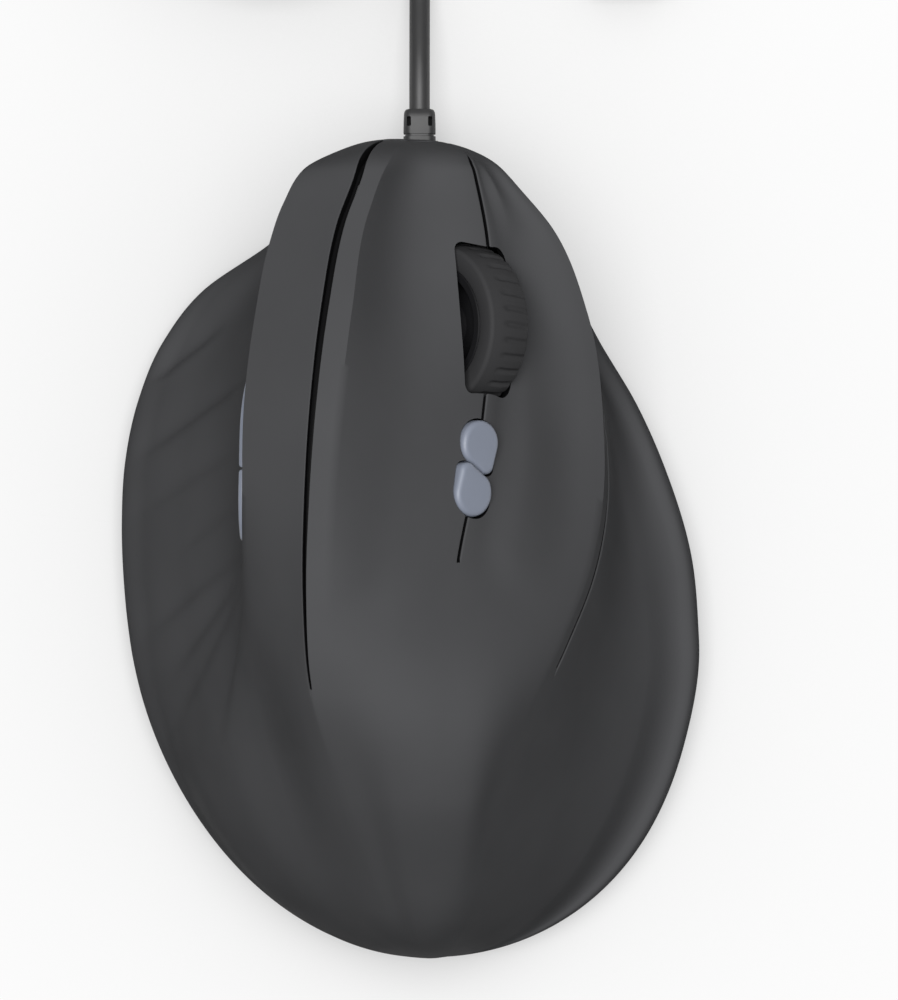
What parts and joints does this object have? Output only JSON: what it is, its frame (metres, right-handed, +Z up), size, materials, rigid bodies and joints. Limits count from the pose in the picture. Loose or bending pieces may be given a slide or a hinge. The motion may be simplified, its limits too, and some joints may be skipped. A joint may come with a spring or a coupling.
{
  "type": "vertical ergonomic mouse",
  "caption": "Right-handed vertical computer mouse with a tilted button deck, scroll wheel, thumb keys, flanged hand rest and a corded plug.",
  "frame": {"origin": "on the desk, under the middle of the body without its cord", "axes": "+Z up, +Y towards the cord end of the mouse, +X towards the finger side"},
  "size_m": [0.0937, 0.2018, 0.0664],
  "materials": {
    "soft_shell": "soft touch matte",
    "deck_plastic": "fine satin",
    "base_plastic": "moulded matte",
    "inner_plastic": "moulded",
    "blue_grey_key": "satin",
    "wheel_plastic": "semi gloss",
    "wheel_rubber": "matte ribbed",
    "steel": "plated",
    "green_board": "solder mask",
    "switch_plastic": "moulded",
    "pale_plastic": "moulded",
    "clear_plastic": "clear moulded",
    "red_lamp": "clear",
    "glide": "smooth",
    "cord_jacket": "smooth flexible jacket",
    "contact_metal": "plated"
  },
  "bodies": {
    "housing": {"main_shell": "soft_shell", "base_plate": "base_plastic", "chassis": "inner_plastic", "main_board": "green_board", "deck_board": "green_board", "side_board": "green_board", "left_switch": "switch_plastic", "right_switch": "switch_plastic", "middle_switch": "switch_plastic", "forward_switch": "switch_plastic", "back_switch": "switch_plastic", "speed_up_switch": "switch_plastic", "speed_down_switch": "switch_plastic", "sensor_chip": "switch_plastic", "sensor_lens": "clear_plastic", "sensor_lamp": "red_lamp", "controller_chip": "switch_plastic", "lead_socket": "pale_plastic", "inner_lead": "cord_jacket", "strain_relief": "cord_jacket", "shell_screws": "steel", "chassis_screws": "steel", "main_board_screws": "steel", "deck_board_screws": "steel", "side_board_screws": "steel", "glide_feet": "glide", "cord_lead": "cord_jacket", "cord_coil": "cord_jacket", "cord_tail": "cord_jacket", "cord_tie": "cord_jacket", "plug_grip": "cord_jacket", "plug_shell": "steel", "plug_tongue": "pale_plastic", "plug_contacts": "contact_metal"},
    "left_button": {"left_button": "deck_plastic"},
    "right_button": {"right_button": "deck_plastic"},
    "left_plunger": {"left_switch_plunger": "pale_plastic"},
    "right_plunger": {"right_switch_plunger": "pale_plastic"},
    "forward_key": {"forward_key": "blue_grey_key", "forward_switch_plunger": "pale_plastic"},
    "back_key": {"back_key": "blue_grey_key", "back_switch_plunger": "pale_plastic"},
    "speed_up_key": {"speed_up_key": "blue_grey_key", "speed_up_switch_plunger": "pale_plastic"},
    "speed_down_key": {"speed_down_key": "blue_grey_key", "speed_down_switch_plunger": "pale_plastic"},
    "yoke": {"wheel_yoke": "inner_plastic", "wheel_encoder": "green_board", "middle_switch_plunger": "pale_plastic"},
    "wheel": {"wheel_hub": "wheel_plastic", "wheel_tyre": "wheel_rubber", "wheel_axle": "steel"}
  },
  "joints": [
    {"name": "left_press", "type": "hinge", "parent": "housing", "child": "left_button", "pos_m": [-0.0034, -0.0103, 0.05638], "axis": [-0.7118, -0.613, 0.3428], "range_deg": [0, 1.05], "stiffness_Nm_per_rad": 2},
    {"name": "right_press", "type": "hinge", "parent": "housing", "child": "right_button", "pos_m": [0.01477, -0.0091, 0.04655], "axis": [-0.6205, 0.6867, 0.3788], "range_deg": [0, 1.05], "stiffness_Nm_per_rad": 2},
    {"name": "wheel_click", "type": "slide", "parent": "housing", "child": "yoke", "axis": [-0.6691, 0, -0.7431], "range_m": [0, 0.0005], "stiffness_N_per_m": 1500},
    {"name": "wheel_spin", "type": "hinge", "parent": "yoke", "child": "wheel", "pos_m": [0.00719, 0.034, 0.03501], "axis": [0.7431, 0, -0.6691], "continuous": true},
    {"name": "forward_press", "type": "slide", "parent": "housing", "child": "forward_key", "axis": [1, 0, 0], "range_m": [0, 0.0004], "stiffness_N_per_m": 2000},
    {"name": "back_press", "type": "slide", "parent": "housing", "child": "back_key", "axis": [1, 0, 0], "range_m": [0, 0.0004], "stiffness_N_per_m": 2000},
    {"name": "speed_up_press", "type": "slide", "parent": "housing", "child": "speed_up_key", "axis": [-0.6691, 0, -0.7431], "range_m": [0, 0.0004], "stiffness_N_per_m": 2000},
    {"name": "speed_down_press", "type": "slide", "parent": "housing", "child": "speed_down_key", "axis": [-0.6691, 0, -0.7431], "range_m": [0, 0.0004], "stiffness_N_per_m": 2000},
    {"name": "left_plunger_press", "type": "slide", "parent": "housing", "child": "left_plunger", "axis": [-0.6691, 0, -0.7431], "range_m": [0, 0.000655]},
    {"name": "right_plunger_press", "type": "slide", "parent": "housing", "child": "right_plunger", "axis": [-0.6691, 0, -0.7431], "range_m": [0, 0.000825]}
  ],
  "couplings": [
    {"joint": "left_plunger_press", "follows": "left_press", "m_per_rad": 0.035494},
    {"joint": "right_plunger_press", "follows": "right_press", "m_per_rad": 0.044746}
  ]
}
